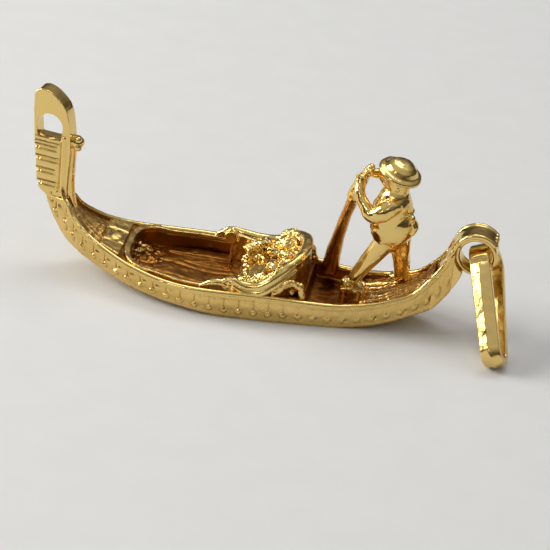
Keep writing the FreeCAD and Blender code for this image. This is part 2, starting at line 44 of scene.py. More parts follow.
# ------------------------------------------------------------------ materials


def new_material(name):
    m = bpy.data.materials.new(name)
    m.use_nodes = True
    m.node_tree.nodes.clear()
    return m, m.node_tree.nodes, m.node_tree.links


def gold(name, light, deep, recess, rough_lo, rough_hi, grain, bump, scratch=0.0):
    """Cast gold: slow colour drift, painted shade in recesses, polish that varies, fine surface grain."""
    m, n, l = new_material(name)
    out = n.new("ShaderNodeOutputMaterial")
    b = n.new("ShaderNodeBsdfPrincipled")
    b.inputs["Metallic"].default_value = 1.0
    l.new(b.outputs[0], out.inputs[0])
    tc = n.new("ShaderNodeTexCoord")

    drift = n.new("ShaderNodeTexNoise")
    drift.inputs["Scale"].default_value = 420.0
    drift.inputs["Detail"].default_value = 4.0
    l.new(tc.outputs["Object"], drift.inputs["Vector"])
    tint = n.new("ShaderNodeMix")
    tint.data_type = "RGBA"
    tint.inputs[6].default_value = (*deep, 1)
    tint.inputs[7].default_value = (*light, 1)
    l.new(drift.outputs[0], tint.inputs[0])

    # Painted shade: in hollows the base colour is mixed towards the recess colour, standing in for the shade and
    # dark inter-reflection there; the hollows are also made rougher.
    cav = n.new("ShaderNodeAttribute")
    cav.attribute_name = "cavity"
    cav_range = n.new("ShaderNodeMapRange")
    cav_range.inputs["From Min"].default_value = 0.55
    cav_range.inputs["From Max"].default_value = 1.0
    l.new(cav.outputs["Fac"], cav_range.inputs["Value"])
    recess_shade_mix = n.new("ShaderNodeMix")
    recess_shade_mix.data_type = "RGBA"
    recess_shade_mix.inputs[7].default_value = (*recess, 1)
    l.new(cav_range.outputs[0], recess_shade_mix.inputs[0])
    l.new(tint.outputs[2], recess_shade_mix.inputs[6])
    l.new(recess_shade_mix.outputs[2], b.inputs["Base Color"])

    wear = n.new("ShaderNodeTexNoise")
    wear.inputs["Scale"].default_value = 900.0
    wear.inputs["Detail"].default_value = 6.0
    wear.inputs["Roughness"].default_value = 0.65
    l.new(tc.outputs["Object"], wear.inputs["Vector"])
    rough = n.new("ShaderNodeMapRange")
    rough.inputs["From Min"].default_value = 0.3
    rough.inputs["From Max"].default_value = 0.75
    rough.inputs["To Min"].default_value = rough_lo
    rough.inputs["To Max"].default_value = rough_hi
    l.new(wear.outputs[0], rough.inputs["Value"])
    add = n.new("ShaderNodeMath")
    add.operation = "MULTIPLY_ADD"
    add.inputs[1].default_value = 0.22
    l.new(cav_range.outputs[0], add.inputs[0])
    l.new(rough.outputs[0], add.inputs[2])
    l.new(add.outputs[0], b.inputs["Roughness"])

    fine = n.new("ShaderNodeTexNoise")
    fine.inputs["Scale"].default_value = grain
    fine.inputs["Detail"].default_value = 5.0
    l.new(tc.outputs["Object"], fine.inputs["Vector"])
    line = n.new("ShaderNodeTexNoise")
    line.inputs["Scale"].default_value = 2600.0
    line.inputs["Detail"].default_value = 3.0
    stretch = n.new("ShaderNodeMapping")
    stretch.inputs["Scale"].default_value = (0.08, 1.0, 1.0)
    l.new(tc.outputs["Object"], stretch.inputs["Vector"])
    l.new(stretch.outputs[0], line.inputs["Vector"])
    both = n.new("ShaderNodeMath")
    both.operation = "MULTIPLY_ADD"
    both.inputs[1].default_value = scratch
    l.new(line.outputs[0], both.inputs[0])
    l.new(fine.outputs[0], both.inputs[2])
    bmp = n.new("ShaderNodeBump")
    bmp.inputs["Strength"].default_value = bump
    bmp.inputs["Distance"].default_value = 0.00004
    l.new(both.outputs[0], bmp.inputs["Height"])
    l.new(bmp.outputs[0], b.inputs["Normal"])
    return m


POLISHED = gold("gold_polished", (0.88, 0.65, 0.25), (0.78, 0.54, 0.17), (0.34, 0.15, 0.02),
                0.10, 0.24, 3000.0, 0.25, 0.5)
CAST = gold("gold_cast", (0.86, 0.62, 0.23), (0.70, 0.46, 0.13), (0.26, 0.10, 0.012),
            0.16, 0.36, 2200.0, 0.5, 0.2)
# Painted shade: a much darker copy of the gold for the inside of the hull and the well floor, standing in for the
# shade and dark inter-reflection in the well.
DEEP_SHADE_GOLD = gold("gold_deep_shade", (0.40, 0.17, 0.03), (0.24, 0.085, 0.012), (0.07, 0.02, 0.003),
              0.24, 0.45, 1800.0, 0.6, 0.3)
# Painted shade: a darker copy of the gold for the decks and the oar, standing in for the dim reflections of the room
# above them.
SHADE_GOLD = gold("gold_shade", (0.66, 0.40, 0.13), (0.46, 0.24, 0.06), (0.20, 0.07, 0.012),
            0.16, 0.36, 2400.0, 0.5, 0.3)

# ------------------------------------------------------------------ mesh tools, all in millimetres


class Shape:
    """Loose triangles and quads in millimetres, added up and then fused."""

    def __init__(self):
        self.v = []
        self.f = []

    def add(self, verts, faces):
        k = len(self.v)
        self.v.extend(tuple(p) for p in verts)
        self.f.extend(tuple(i + k for i in q) for q in faces)
        return self

    def node(self, *names):
        """The CAD node's own surface."""
        for name in names:
            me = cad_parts[name].data
            self.add([tuple(c / MM for c in v.co) for v in me.vertices], [tuple(p.vertices) for p in me.polygons])
        return self

    def ball(self, c, r, s=(1, 1, 1), rot=None, seg=24):
        m = Matrix.Translation(c) @ (rot.to_4x4() if rot else Matrix()) @ Matrix.Diagonal((r * s[0], r * s[1], r * s[2], 1))
        bm = bmesh.new()
        bmesh.ops.create_icosphere(bm, subdivisions=3 if seg > 16 else 2, radius=1.0, matrix=m)
        bm.verts.ensure_lookup_table()
        self.add([v.co[:] for v in bm.verts], [[v.index for v in f.verts] for f in bm.faces])
        bm.free()
        return self

    def tube(self, pts, radii, seg=20, flat=1.0, up=None):
        """Round bar through points, with ball ends. flat squeezes it across the up direction."""
        pts = [Vector(p) for p in pts]
        rings = []
        n = len(pts)
        for i, p in enumerate(pts):
            d = (pts[min(i + 1, n - 1)] - pts[max(i - 1, 0)]).normalized()
            ref = Vector(up) if up else (Vector((0, 0, 1)) if abs(d.z) < 0.9 else Vector((1, 0, 0)))
            a = d.cross(ref).normalized()
            b = a.cross(d).normalized()
            rings.append([p + (a * math.cos(TAU * k / seg) + b * math.sin(TAU * k / seg) * flat) * radii[i]
                          for k in range(seg)])
        verts = [q for r in rings for q in r]
        faces = []
        for i in range(n - 1):
            for k in range(seg):
                j = (k + 1) % seg
                faces.append((i * seg + k, i * seg + j, (i + 1) * seg + j, (i + 1) * seg + k))
        faces.append(tuple(range(seg - 1, -1, -1)))
        faces.append(tuple((n - 1) * seg + k for k in range(seg)))
        self.add(verts, faces)
        if flat == 1.0:
            self.ball(pts[0], radii[0] * 0.98)
            self.ball(pts[-1], radii[-1] * 0.98)
        return self


def smooth_curve(pts, n, closed=False):
    """Catmull-Rom points through pts."""
    pts = [Vector(p) for p in pts]
    out = []
    m = len(pts)
    segs = m if closed else m - 1
    for i in range(segs):
        p1, p2 = pts[i], pts[(i + 1) % m]
        p0 = pts[i - 1] if (i > 0 or closed) else p1 * 2 - p2
        p3 = pts[(i + 2) % m] if (i + 2 < m or closed) else p2 * 2 - p1
        for k in range(n):
            t = k / n
            out.append(0.5 * ((2 * p1) + (p2 - p0) * t + (2 * p0 - 5 * p1 + 4 * p2 - p3) * t * t
                              + (3 * p1 - p0 - 3 * p2 + p3) * t ** 3))
    if not closed:
        out.append(pts[-1])
    return out


def edges_of(me):
    e = np.empty(len(me.edges) * 2, dtype=np.int64)
    me.edges.foreach_get("vertices", e)
    return e.reshape(-1, 2)


def relax(co, e, steps, lam=0.5, mu=-0.52):
    """Taubin smoothing: rounds the surface without shrinking it."""
    deg = np.bincount(e.ravel(), minlength=len(co)).astype(float)
    deg[deg == 0] = 1
    for i in range(steps):
        for w in (lam, mu):
            s = np.zeros_like(co)
            np.add.at(s, e[:, 0], co[e[:, 1]])
            np.add.at(s, e[:, 1], co[e[:, 0]])
            co = co + w * (s / deg[:, None] - co)
    return co


def normals_of(me, co):
    me.vertices.foreach_set("co", co.ravel())
    me.update()
    nv = np.empty(len(me.vertices) * 3)
    me.vertex_normals.foreach_get("vector", nv)
    return nv.reshape(-1, 3)


def hashed(i, k):
    """A fixed number from 0 to 1 for each pair."""
    return (math.sin(i * 12.9898 + k * 78.233 + 0.5) * 43758.5453) % 1.0


def lumps(co, size, octaves=2, seed=0.0):
    """Smooth noise, about -1 to 1, at that feature size in millimetres."""
    out = np.empty(len(co))
    k = 1.0 / size
    for i, p in enumerate(co):
        q = Vector((p[0] * k + seed, p[1] * k, p[2] * k))
        out[i] = noise.fractal(q, 1.0, 2.0, octaves)
    return out


def cavity_of(co, nv, e, steps=6, scale=0.05):
    """1 in recesses, 0 on edges, 0.5 on the flat."""
    deg = np.bincount(e.ravel(), minlength=len(co)).astype(float)
    deg[deg == 0] = 1
    q = co.copy()
    for i in range(steps):
        s = np.zeros_like(q)
        np.add.at(s, e[:, 0], q[e[:, 1]])
        np.add.at(s, e[:, 1], q[e[:, 0]])
        q = q + 0.7 * (s / deg[:, None] - q)
    d = ((q - co) * nv).sum(1)
    return np.clip(0.5 + d / scale * 0.5, 0, 1)


def finish_piece(name, me, co, material, body, nodes, cav_scale=0.05):
    e = edges_of(me)
    nv = normals_of(me, co)
    cav = cavity_of(co, nv, e, scale=cav_scale)
    a = me.attributes.new("cavity", "FLOAT", "POINT")
    a.data.foreach_set("value", cav.astype(np.float32))
    me.vertices.foreach_set("co", (co * MM).ravel())
    me.shade_smooth()
    me.update()
    ob = bpy.data.objects.new(name, me)
    bpy.context.scene.collection.objects.link(ob)
    me.materials.clear()
    me.materials.append(material)
    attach(ob, body)
    if nodes:
        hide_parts(*nodes)
    return ob


def cast(name, shape, voxel, steps, relief=None, material=None, body=BODY, nodes=(),
         lump=(0.0, 1.0), cav_scale=0.05, post=1):
    """Fuses a shape's solids, rounds them as a casting is rounded, adds relief(co, normals) and makes the piece."""
    src = bpy.data.meshes.new("src")
    src.from_pydata(shape.v, [], shape.f)
    src.update()
    tmp = bpy.data.objects.new("tmp", src)
    bpy.context.scene.collection.objects.link(tmp)
    mod = tmp.modifiers.new("fuse", "REMESH")
    mod.mode = "VOXEL"
    mod.voxel_size = voxel
    mod.adaptivity = 0
    dg = bpy.context.evaluated_depsgraph_get()
    me = bpy.data.meshes.new_from_object(tmp.evaluated_get(dg))
    bpy.data.objects.remove(tmp)
    bpy.data.meshes.remove(src)
    me.name = name
    co = np.empty(len(me.vertices) * 3)
    me.vertices.foreach_get("co", co)
    co = relax(co.reshape(-1, 3), edges_of(me), steps)
    if relief or lump[0]:
        nv = normals_of(me, co)
        h = np.zeros(len(co))
        if lump[0]:
            h += lump[0] * lumps(co, lump[1], seed=len(name) * 3.7)
        if relief:
            h += relief(co, nv)
        co = co + nv * h[:, None]
        co = relax(co, edges_of(me), post)
    return finish_piece(name, me, co, material or CAST, body, nodes, cav_scale)


# ------------------------------------------------------------------ pieces
def groove(d, width, depth):
    """Rounded groove at distance d from its line."""
    return -depth * np.exp(-(d / width) ** 2)


# Lines of the hull, from bow to stern: x, centre y, half beam and height of gunwale, half beam and height of chine
LINES = (
    (-14.95, 0.28, 0.48, 4.98, 0.40, 4.75), (-14.40, 0.19, 0.56, 5.00, 0.44, 3.60),
    (-13.90, 0.10, 0.66, 5.02, 0.50, 2.85), (-13.40, 0.02, 0.86, 4.96, 0.64, 2.28),
    (-12.80, 0.00, 1.22, 4.15, 0.95, 1.92), (-12.00, 0.00, 1.68, 3.48, 1.38, 1.58),
    (-11.00, 0.00, 2.10, 2.94, 1.78, 1.24), (-9.50, 0.00, 2.75, 2.43, 2.42, 0.84),
    (-8.00, 0.00, 3.38, 2.12, 3.05, 0.61), (-6.00, 0.00, 4.00, 1.90, 3.70, 0.45),
    (-4.00, 0.00, 4.28, 1.83, 4.00, 0.28), (-2.00, 0.00, 4.18, 1.84, 3.90, 0.06),
    (0.00, 0.00, 3.93, 1.86, 3.66, 0.00), (2.00, 0.00, 3.62, 1.80, 3.36, 0.00),
    (4.00, 0.00, 3.28, 1.68, 3.02, 0.00), (6.00, 0.00, 2.90, 1.66, 2.64, 0.02),
    (8.00, 0.00, 2.50, 1.95, 2.24, 0.30), (9.50, 0.00, 2.17, 2.42, 1.92, 0.76),
    (10.80, 0.00, 1.82, 3.02, 1.58, 1.28), (11.90, 0.00, 1.36, 4.25, 1.18, 1.72),
)


def line_at(x):
    """Catmull-Rom value of LINES at x: centre y, half beam, gunwale z, chine half beam, chine z."""
    last = len(LINES) - 1
    i = 0
    while i < last - 1 and LINES[i + 1][0] <= x:
        i += 1
    p0, p1, p2, p3 = LINES[max(i - 1, 0)], LINES[i], LINES[i + 1], LINES[min(i + 2, last)]
    h = p2[0] - p1[0]
    t = min(max((x - p1[0]) / h, 0.0), 1.0)
    out = []
    for k in range(1, 6):
        m1 = (p2[k] - p0[k]) / (p2[0] - p0[0]) * h
        m2 = (p3[k] - p1[k]) / (p3[0] - p1[0]) * h
        out.append((2 * t ** 3 - 3 * t * t + 1) * p1[k] + (t ** 3 - 2 * t * t + t) * m1
                   + (3 * t * t - 2 * t ** 3) * p2[k] + (t ** 3 - t * t) * m2)
    return out


# Tail side: the strake runs on up the tail to the ring. x, half width, top z, underside z
TAIL_LINES = ((11.90, 1.36, 4.25, 1.74), (12.30, 1.25, 4.84, 2.12), (12.70, 1.14, 5.56, 2.68), (13.10, 1.06, 6.12, 3.30),
              (13.40, 1.03, 6.30, 3.80))


def side_at(x):
    """Half beam and height of the strake's upper and lower edge at x, along hull and tail."""
    if x <= LINES[-1][0]:
        return line_at(x)
    i = max(k for k in range(len(TAIL_LINES) - 1) if x >= TAIL_LINES[k][0])
    p0, p1, p2, p3 = (Vector(TAIL_LINES[min(max(i + k, 0), len(TAIL_LINES) - 1)]) for k in (-1, 0, 1, 2))
    if i == 0:
        p0 = Vector((LINES[-2][0], LINES[-2][2], LINES[-2][3], LINES[-2][5]))
    t = (x - p1[0]) / (p2[0] - p1[0])
    a, b = (p2 - p0) / (p2[0] - p0[0]) * (p2[0] - p1[0]), (p3 - p1) / (p3[0] - p1[0]) * (p2[0] - p1[0])
    q = p1 * (2 * t ** 3 - 3 * t * t + 1) + a * (t ** 3 - 2 * t * t + t) + p2 * (3 * t * t - 2 * t ** 3) + b * (t ** 3 - t * t)
    inset = LINES[-1][2] - LINES[-1][4]
    return 0.0, q[1], q[2], q[1] - inset * max(0.0, 1 - (x - 11.9) / 0.9), q[3]


PITCH = 1.0
SKIN_X0, SKIN_X1 = -14.90, 13.1
SKIN_NX, SKIN_NT = 640, 46


def step(v, edge, sharp):
    """Soft step from 0 to 1 at the edge."""
    return 1 / (1 + math.exp(max(-60.0, min(60.0, (edge - v) * sharp))))


def strake_relief(s, t, x, side):
    """Raised rim, a row of soft scallops with a groove between them, and a bead at each groove's foot."""
    k = math.floor(s / PITCH)
    d = (s / PITCH - k - 0.5) * PITCH
    j = hashed(k, 5 + side)
    j2 = hashed(k, 9 + side)
    worn = step(x, 2.6, 2.0)
    bow = 1 - step(x, -6.0, 1.2)
    fade = 1.0 - 0.72 * worn + 0.7 * bow
    cell = d / PITCH + 0.5
    h = 0.05 * step(t, 0.86, 45)
    shingle = (1 - cell) ** 0.8 * min(1.0, cell / 0.26)
    swell = math.sin(math.pi * cell) ** 0.6
    rise = step(t, 0.46, 20) * (1 - step(t, 0.78, 26))
    h += fade * rise * (0.11 * shingle + 0.07 * swell - 0.06)
    bt = 0.36 + 0.05 * (j2 - 0.5)
    e = min(cell, 1 - cell) * PITCH
    r = math.hypot((e - 0.03 * j) / 0.23, (t - bt) / 0.145)
    bead = max(0.0, 1 - r * r) ** 0.85 * (0.85 + 0.3 * j2)
    pit = 0.5 + 0.5 * math.sin(3.3 * k)
    h += (1 - worn) * (0.20 - 0.04 * bow) * bead
    h += worn * (0.07 * bead - 0.14 * math.exp(-(((cell - 0.22) / 0.11) ** 2 + ((t - bt) / 0.08) ** 2)) * pit)
    h += 0.03 * math.exp(-((t - 0.08) / 0.08) ** 2)
    if -3.3 < x < 0.3:
        q = s / 0.30 - math.floor(s / 0.30)
        h += 0.06 * math.exp(-((q - 0.5) / 0.22) ** 2) * math.exp(-((t - 0.86) / 0.035) ** 2)
    return h


def strake_skin(name, side, nodes):
    """Closed thin skin over one side of the hull, worked in relief."""
    xs = np.linspace(SKIN_X0, SKIN_X1, SKIN_NX)
    rows = [side_at(x) for x in xs]
    mid = np.array([(x, (r[2] + r[4]) / 2, (r[1] + r[3]) / 2) for x, r in zip(xs, rows)])
    arc = np.concatenate([[0], np.cumsum(np.linalg.norm(np.diff(mid, axis=0), axis=1))])
    outer = np.zeros((SKIN_NX, SKIN_NT, 3))
    for i, (x, r) in enumerate(zip(xs, rows)):
        yc, w, g, c, k = r
        for j in range(SKIN_NT):
            t = j / (SKIN_NT - 1)
            bulge = 0.07 * math.sin(math.pi * t)
            outer[i, j] = (x, yc * 1.0 + side * (c + (w - c) * t + bulge), k + (g - k) * t)
    du = np.gradient(outer, axis=0)
    dv = np.gradient(outer, axis=1)
    nrm = np.cross(du, dv)
    nrm /= np.linalg.norm(nrm, axis=2, keepdims=True)
    nrm *= np.where(nrm[..., 1:2] * side < 0, -1.0, 1.0)
    h = np.zeros((SKIN_NX, SKIN_NT))
    for i in range(SKIN_NX):
        ends = min(1.0, i / 10, (SKIN_NX - 1 - i) / 10)
        for j in range(SKIN_NT):
            t = j / (SKIN_NT - 1)
            p = outer[i, j]
            h[i, j] = ends * (strake_relief(arc[i], t, xs[i], side)
                              + 0.016 * noise.fractal(Vector(p) * 1.6, 1.0, 2.0, 3)) + 0.035
    surf = outer + nrm * h[..., None]
    back = outer - nrm * 0.10
    verts = np.concatenate([surf.reshape(-1, 3), back.reshape(-1, 3)])
    nn = SKIN_NX * SKIN_NT
    faces = []
    for i in range(SKIN_NX - 1):
        for j in range(SKIN_NT - 1):
            a, b, c2, d = i * SKIN_NT + j, (i + 1) * SKIN_NT + j, (i + 1) * SKIN_NT + j + 1, i * SKIN_NT + j + 1
            faces.append((a, b, c2, d))
            faces.append((d + nn, c2 + nn, b + nn, a + nn))
    loop = [i * SKIN_NT for i in range(SKIN_NX)] + [(SKIN_NX - 1) * SKIN_NT + j for j in range(1, SKIN_NT)]
    loop += [i * SKIN_NT + SKIN_NT - 1 for i in range(SKIN_NX - 2, -1, -1)] + [j for j in range(SKIN_NT - 2, 0, -1)]
    for a, b in zip(loop, loop[1:] + loop[:1]):
        faces.append((b, a, a + nn, b + nn))
    if side > 0:
        faces = [tuple(reversed(f)) for f in faces]
    me = bpy.data.meshes.new(name)
    me.from_pydata(verts.tolist(), [], faces)
    me.update()
    return finish_piece(name, me, np.array(verts), CAST, BODY, nodes, 0.04)


strake_skin("strake_port", -1, ())
strake_skin("strake_starboard", 1, ("strake_beads",))


def sweep(name, path, radius, squash, material, nodes, seg=16, taper=None, wobble=0.0):
    """Rounded bar along a path, squash tall in z."""
    pts = smooth_curve(path, 6)
    verts = []
    n = len(pts)
    for i, p in enumerate(pts):
        d = (pts[min(i + 1, n - 1)] - pts[max(i - 1, 0)]).normalized()
        a = d.cross(Vector((0, 0, 1))).normalized()
        b = a.cross(d).normalized()
        r = radius * (taper(i / (n - 1)) if taper else 1.0) * (1 + wobble * noise.noise(p * 2.2))
        for k in range(seg):
            c = TAU * k / seg
            verts.append(p + a * math.cos(c) * r + b * math.sin(c) * r * squash)
    faces = []
    for i in range(n - 1):
        for k in range(seg):
            j = (k + 1) % seg
            faces.append((i * seg + k, (i + 1) * seg + k, (i + 1) * seg + j, i * seg + j))
    faces.append(tuple(range(seg)))
    faces.append(tuple((n - 1) * seg + k for k in range(seg - 1, -1, -1)))
    me = bpy.data.meshes.new(name)
    me.from_pydata([v[:] for v in verts], [], faces)
    me.update()
    return finish_piece(name, me, np.array([v[:] for v in verts]), material, BODY, nodes)


def rail(name, side, node):
    path = []
    for i in range(70):
        x = -13.60 + (12.1 + 13.60) * i / 69
        yc, w, g, c, k = line_at(x)
        path.append((x, yc + side * (w - 0.10), g + 0.03))
    sweep(name, path, 0.20, 0.80, POLISHED, (node,), taper=lambda t: 0.8 + 0.3 * math.sin(math.pi * t),
          wobble=0.10)


rail("rail_port", -1, "gunwale_port")
rail("rail_starboard", 1, "gunwale_starboard")


# ------------------------------------------------------------------ hull body and decks
def hull_relief(p, nv):
    """Interior walls hammered, keel left smooth."""
    inside = (nv[:, 2] > -0.2) & (p[:, 2] > 0.4)
    return np.where(inside, 0.035 * lumps(p, 0.55, 3, 1.0), 0.008 * lumps(p, 1.2, 2, 2.0))


hull_body = cast("hull_body", Shape().node("hull"), 0.11, 3, relief=hull_relief, nodes=("hull",), material=DEEP_SHADE_GOLD,
                 cav_scale=0.12)
# The bottom, the stem and the outer sides take the strakes' gold; the inside takes the very dark gold, painted shade
# for the shaded inside of the hull.
hull_body.data.materials.append(CAST)
for face in hull_body.data.polygons:
    c, n = face.center / MM, face.normal
    outside = n.y * math.copysign(1, c.y) > 0.15 or n.z < -0.3 or (c.x < -12.0 and n.x < -0.3)
    face.material_index = int(outside)


def deck_relief(p, nv):
    """Fine planks that fan out from the prow on both sides of a raised king plank."""
    half = 0.20 + (p[:, 0] + 13.3) * 0.62
    u = p[:, 1] / half
    h = 0.0
    for line in (-0.78, -0.52, -0.26, 0.26, 0.52, 0.78):
        h = h + groove((u - line) * half, 0.05, 0.06)
    h = h + 0.10 * np.exp(-(p[:, 1] / 0.16) ** 2)
    return np.where(nv[:, 2] > 0.3, h + 0.03 * lumps(p, 0.35, 3, 3.0), 0)


# The foredeck takes the darker gold: painted shade.
cast("foredeck", Shape().node("fore_deck"), 0.045, 2, relief=deck_relief, nodes=("fore_deck",), material=SHADE_GOLD)


def step_shape():
    """The step with its raised middle panel."""
    s = Shape().node("fore_deck_step")
    s.ball((-9.95, -0.15, 2.62), 1.0, (0.62, 0.92, 0.34))
    s.ball((-10.35, 1.05, 2.60), 0.7, (0.5, 0.75, 0.36))
    s.ball((-10.30, -1.35, 2.50), 0.7, (0.5, 0.55, 0.36))
    return s


def step_relief(p, nv):
    h = groove(p[:, 0] + 10.72, 0.07, 0.08) + groove(p[:, 1] - 0.72, 0.06, 0.07) + groove(p[:, 1] + 0.98, 0.06, 0.07)
    return np.where(nv[:, 2] > 0.3, h + 0.02 * lumps(p, 0.4, 3, 5.0), 0)


cast("foredeck_panel", step_shape(), 0.05, 3, relief=step_relief, nodes=("fore_deck_step",))
cast("coaming", Shape().node("cockpit_coaming"), 0.05, 4, nodes=("cockpit_coaming",), lump=(0.03, 0.8),
     material=CAST)


def floor_relief(p, nv):
    rough = np.clip((-6.6 - p[:, 0]) / 0.5, 0, 1)
    h = 0.10 * rough * lumps(p, 0.42, 3, 7.0) + 0.03 * lumps(p, 0.5, 3, 8.0)
    for y in (-0.9, 0.8):
        h = h + (1 - rough) * groove(p[:, 1] - y + 0.12 * np.sin(p[:, 0] * 1.3), 0.16, 0.04)
    return np.where(nv[:, 2] > 0.1, h, 0)


def floor_shape():
    """The floor with the lumps at its forward end pressed nearly flat; their roughness comes back as relief."""
    s = Shape().node("cockpit_floor")
    s.v = [(x, y, min(z, 0.93 - 0.08 * (x + 6.0))) if x < -6.5 else (x, y, z) for x, y, z in s.v]
    return s


# The floorboards take the very dark gold: painted shade for the floor of the well.
cast("floorboards", floor_shape(), 0.06, 3, relief=floor_relief, nodes=("cockpit_floor",), material=DEEP_SHADE_GOLD)


def tufts(s, spots, seed, spread, size):
    """Handfuls of small crumpled lumps around each spot."""
    for n, (c, count) in enumerate(spots):
        for i in range(count):
            k = seed + 17 * n
            d = Vector((hashed(i, k) - 0.5, hashed(i, k + 1) - 0.5, hashed(i, k + 2) - 0.5)) * 2 * spread
            s.ball(Vector(c) + d, size * (0.7 + 0.9 * hashed(i, k + 3)), (1.3, 0.8 + 0.7 * hashed(i, k + 4), 0.7), seg=12)
    return s


def grain_shape():
    """Crumbs of rough metal left by the caster on the forward wall of the well."""
    return tufts(Shape(), (((-8.45, 0.90, 1.20), 12), ((-8.30, 1.25, 1.55), 12), ((-8.10, 1.60, 1.20), 12), ((-8.20, 1.35, 0.85), 10)),
                 71, 0.26, 0.12)


cast("well_grains", grain_shape(), 0.04, 2, lump=(0.06, 0.25))

# ------------------------------------------------------------------ prow iron
IRON_TURN = Matrix.Rotation(math.radians(-10), 3, "Z")
IRON_PIVOT = Vector((-13.30, 0, 0))


def iron_point(u, h, z):
    return (IRON_TURN @ Vector((u, h, z))) + IRON_PIVOT


def iron_local(p):
    q = p - np.array(IRON_PIVOT)
    a = math.radians(10)
    return q[:, 0] * math.cos(a) - q[:, 1] * math.sin(a), q[:, 0] * math.sin(a) + q[:, 1] * math.cos(a)


TOOTH_GAPS = (9.02, 8.42, 7.60, 6.72, 5.82)
PLATE_HALF = 0.56


def iron_shape():
    """The blade with a lip under its hole, a fuller knob and a foot that runs into the stem."""
    s = Shape().node("prow_iron")
    plate = [iron_point(u if u > -1 else u - 0.13 * (z - 5.55), h, z)
             for u in (-1.98, -0.84) for h in (-PLATE_HALF, PLATE_HALF) for z in (5.55, 8.90)]
    s.add(plate, [(0, 1, 3, 2), (4, 6, 7, 5), (0, 4, 5, 1), (2, 3, 7, 6), (0, 2, 6, 4), (1, 5, 7, 3)])
    s.tube([iron_point(-2.72, 0, 9.06), iron_point(-1.7, -0.42, 9.0), iron_point(-0.75, 0, 9.0)], [0.16, 0.20, 0.16], seg=12)
    heel = smooth_curve([iron_point(-0.30, 0, 8.6), iron_point(-0.28, 0, 7.0), iron_point(-0.24, 0, 5.9), (-13.36, 0.0, 5.15),
                         (-13.05, 0.0, 4.40), (-12.50, 0.0, 3.55)], 5)
    n = len(heel) - 1
    s.tube(heel, [0.08 + 0.36 * min(1.0, (n - i) / (0.5 * n)) for i in range(n + 1)], seg=16)
    s.ball(iron_point(0.20, 0, 9.15), 0.46, (1.0, 1.1, 0.9))
    s.ball(iron_point(0.34, -0.28, 8.92), 0.28)
    s.ball(iron_point(0.30, -0.20, 9.42), 0.24)
    for side in (-1, 1):
        s.tube(smooth_curve([iron_point(-0.62, side * 0.46, 9.4), iron_point(-0.55, side * 0.48, 7.4),
                             iron_point(-0.52, side * 0.50, 6.0), (-13.72, side * 0.62, 5.25), (-13.30, side * 0.80, 4.72),
                             (-12.85, side * 1.06, 4.22)], 5), [0.22 - 0.005 * i for i in range(26)], seg=14)
    return s


def iron_relief(p, nv):
    """Each tooth block is crowned, with a thin ridge above and below its gap."""
    u, w = iron_local(p)
    face = np.abs(nv[:, 1]) > 0.5
    h = 0.012 * lumps(p, 0.9, 2, 4.0)
    on = face & (u < -0.86) & (p[:, 2] < 9.2) & (p[:, 2] > 5.3)
    for i, z in enumerate(TOOTH_GAPS):
        end = -0.86 - 0.22 * (i % 2)
        part = on & (u < end)
        h = h + np.where(part, 0.06 * np.exp(-((p[:, 2] - z - 0.17) / 0.06) ** 2)
                         + 0.06 * np.exp(-((p[:, 2] - z + 0.17) / 0.06) ** 2), 0)
    return h + np.where(face & (p[:, 2] < 9.1) & (p[:, 2] > 5.4), groove(u + 0.80, 0.07, 0.07), 0)


cast("iron", iron_shape(), 0.045, 5, relief=iron_relief, nodes=("prow_iron",), material=POLISHED)

# ------------------------------------------------------------------ settee
def crumple(p, nv):
    """Tufted cloth as the caster left it: sharp folds between small flat faces."""
    a = 1 - 2.2 * np.abs(lumps(p, 0.62, 2, 11.0))
    c = 1 - 2.2 * np.abs(lumps(p, 0.34, 2, 12.0))
    return 0.12 * a + 0.05 * c


def back_shape():
    """The curved wall under a thick rolled rim."""
    s = Shape().node("settee_back")
    s.tube(smooth_curve([(1.35, -3.16, 3.18), (2.20, -2.62, 3.78), (2.85, -1.80, 4.12), (3.18, -0.7, 4.28), (3.18, 0.7, 4.28),
                         (2.85, 1.75, 4.10), (2.10, 2.65, 3.72), (1.30, 3.18, 3.22)], 5), [0.30] * 36, seg=16)
    return s


def back_relief(p, nv):
    inside = (nv[:, 0] < 0.1) & (p[:, 2] < 3.9)
    return np.where(inside, crumple(p, nv), 0.03 * lumps(p, 0.8, 2, 13.0))


cast("seat_back", back_shape(), 0.055, 5, relief=back_relief, nodes=("settee_back",))


def bolster_shape():
    s = Shape().node("settee_bolster")
    tufts(s, (((0.75, -2.05, 2.25), 6), ((1.45, -1.35, 2.80), 7), ((2.05, -0.45, 3.25), 7), ((2.05, 1.25, 3.20), 7),
              ((1.25, 1.95, 2.90), 7), ((0.35, 2.35, 2.50), 7), ((-0.7, 2.45, 2.2), 7)), 3, 0.42, 0.30)
    return s


def bolster_relief(p, nv):
    return crumple(p, nv)


cast("cushions", bolster_shape(), 0.045, 6, relief=bolster_relief, nodes=("settee_bolster",), material=POLISHED)


def seat_shape():
    """The seat with its loose cushion and crumpled cloth heaped at the sides."""
    s = Shape().node("settee_seat")
    s.ball((0.35, 0.15, 1.75), 1.0, (1.25, 1.45, 0.45), rot=Matrix.Rotation(math.radians(-16), 3, "Y"))
    tufts(s, (((-0.55, -1.9, 1.70), 6), ((0.25, -2.0, 1.90), 6), ((-0.75, 1.75, 1.70), 6), ((0.3, 1.9, 1.95), 6)), 41, 0.36, 0.28)
    return s


def seat_relief(p, nv):
    smooth = np.exp(-(((p[:, 0] - 0.35) / 1.1) ** 2 + ((p[:, 1] - 0.15) / 1.2) ** 2) ** 2)
    return (1 - 0.85 * smooth) * 0.9 * crumple(p, nv) + 0.02 * lumps(p, 0.9, 2, 15.0)


cast("seat", seat_shape(), 0.05, 5, relief=seat_relief, nodes=("settee_seat",), material=POLISHED)


